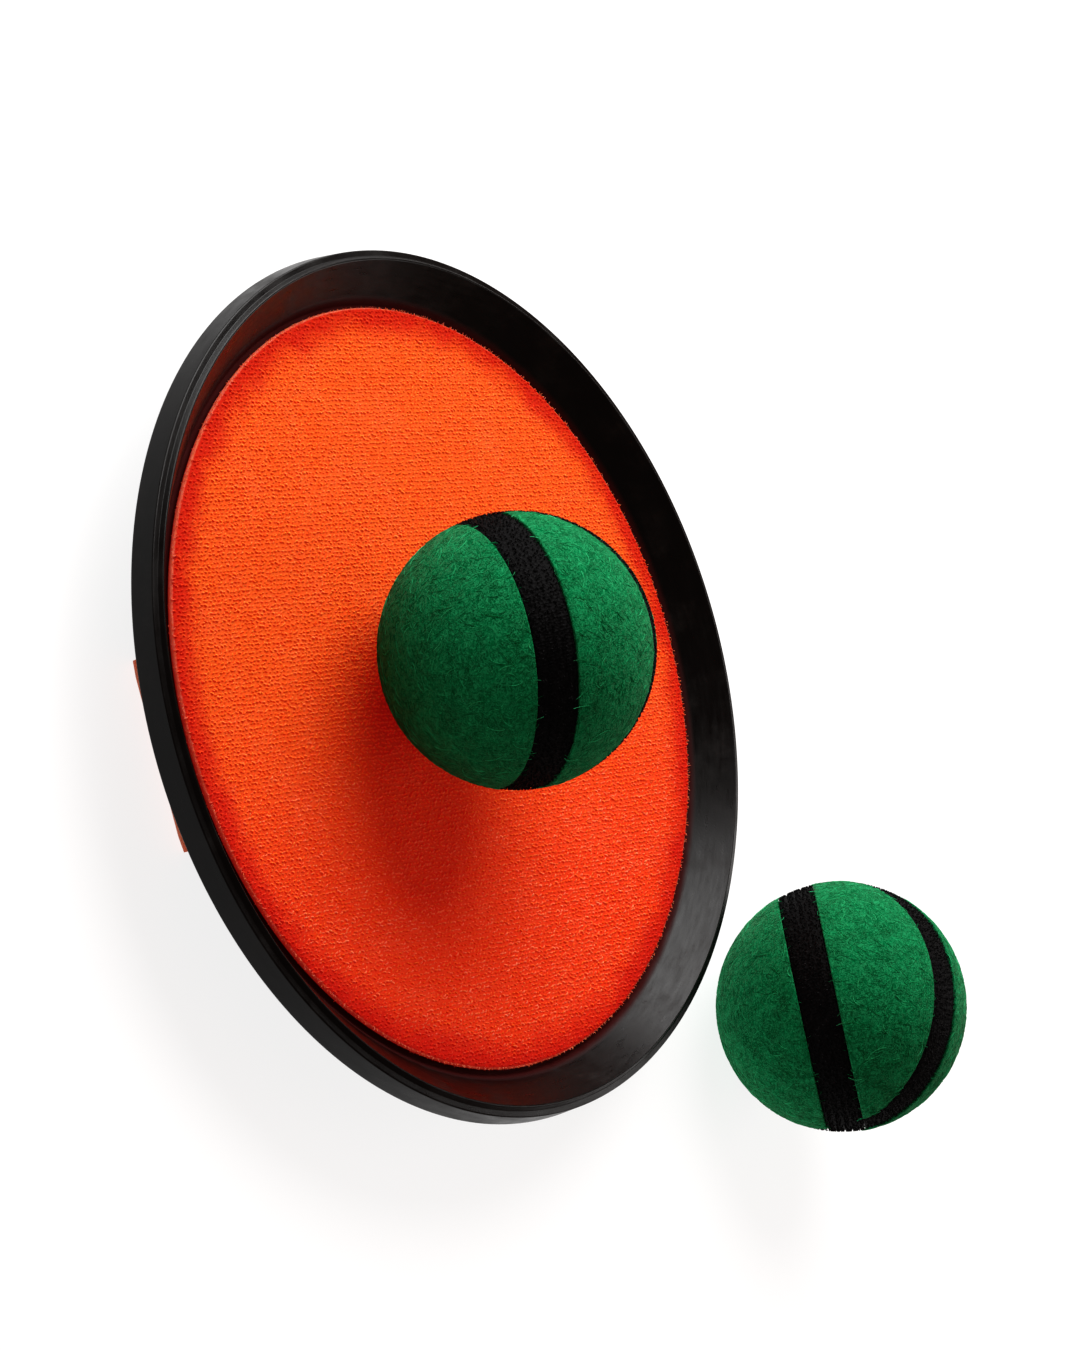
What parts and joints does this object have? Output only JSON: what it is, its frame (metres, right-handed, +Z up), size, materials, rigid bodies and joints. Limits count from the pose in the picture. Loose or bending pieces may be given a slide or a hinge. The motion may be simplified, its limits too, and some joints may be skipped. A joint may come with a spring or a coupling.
{
  "type": "hook and loop catch set",
  "caption": "Round black catching dish with an orange loop face and a hand strap on its back, with green felt balls that carry black hook bands.",
  "frame": {"origin": "on the ground, at the middle of the hand strap's underside, straight under the centre of the dish", "axes": "+Z up along the dish's axis, out of its loop face; +Y along the hand strap, away from the side that the picture looks from; +X across the strap"},
  "size_m": [0.2301, 0.2328, 0.082],
  "materials": {
    "black_plastic": "satin injection-moulded plastic",
    "orange_loop": "knitted loop pile",
    "orange_webbing": "woven webbing",
    "green_felt": "fuzzy wool felt",
    "black_hook": "woven tape with small hooks",
    "pale_core": "moulded foam"
  },
  "bodies": {
    "root": {"paddle_shell": "black_plastic", "loop_face": "orange_loop", "hand_strap": "orange_webbing", "ball_1_core": "pale_core", "ball_1_band": "black_hook", "ball_1_half_band_a": "black_hook", "ball_1_half_band_b": "black_hook", "ball_1_felt_1": "green_felt", "ball_1_felt_2": "green_felt", "ball_1_felt_3": "green_felt", "ball_1_felt_4": "green_felt", "ball_2_core": "pale_core", "ball_2_band": "black_hook", "ball_2_half_band_a": "black_hook", "ball_2_half_band_b": "black_hook", "ball_2_felt_1": "green_felt", "ball_2_felt_2": "green_felt", "ball_2_felt_3": "green_felt", "ball_2_felt_4": "green_felt"}
  },
  "joints": []
}
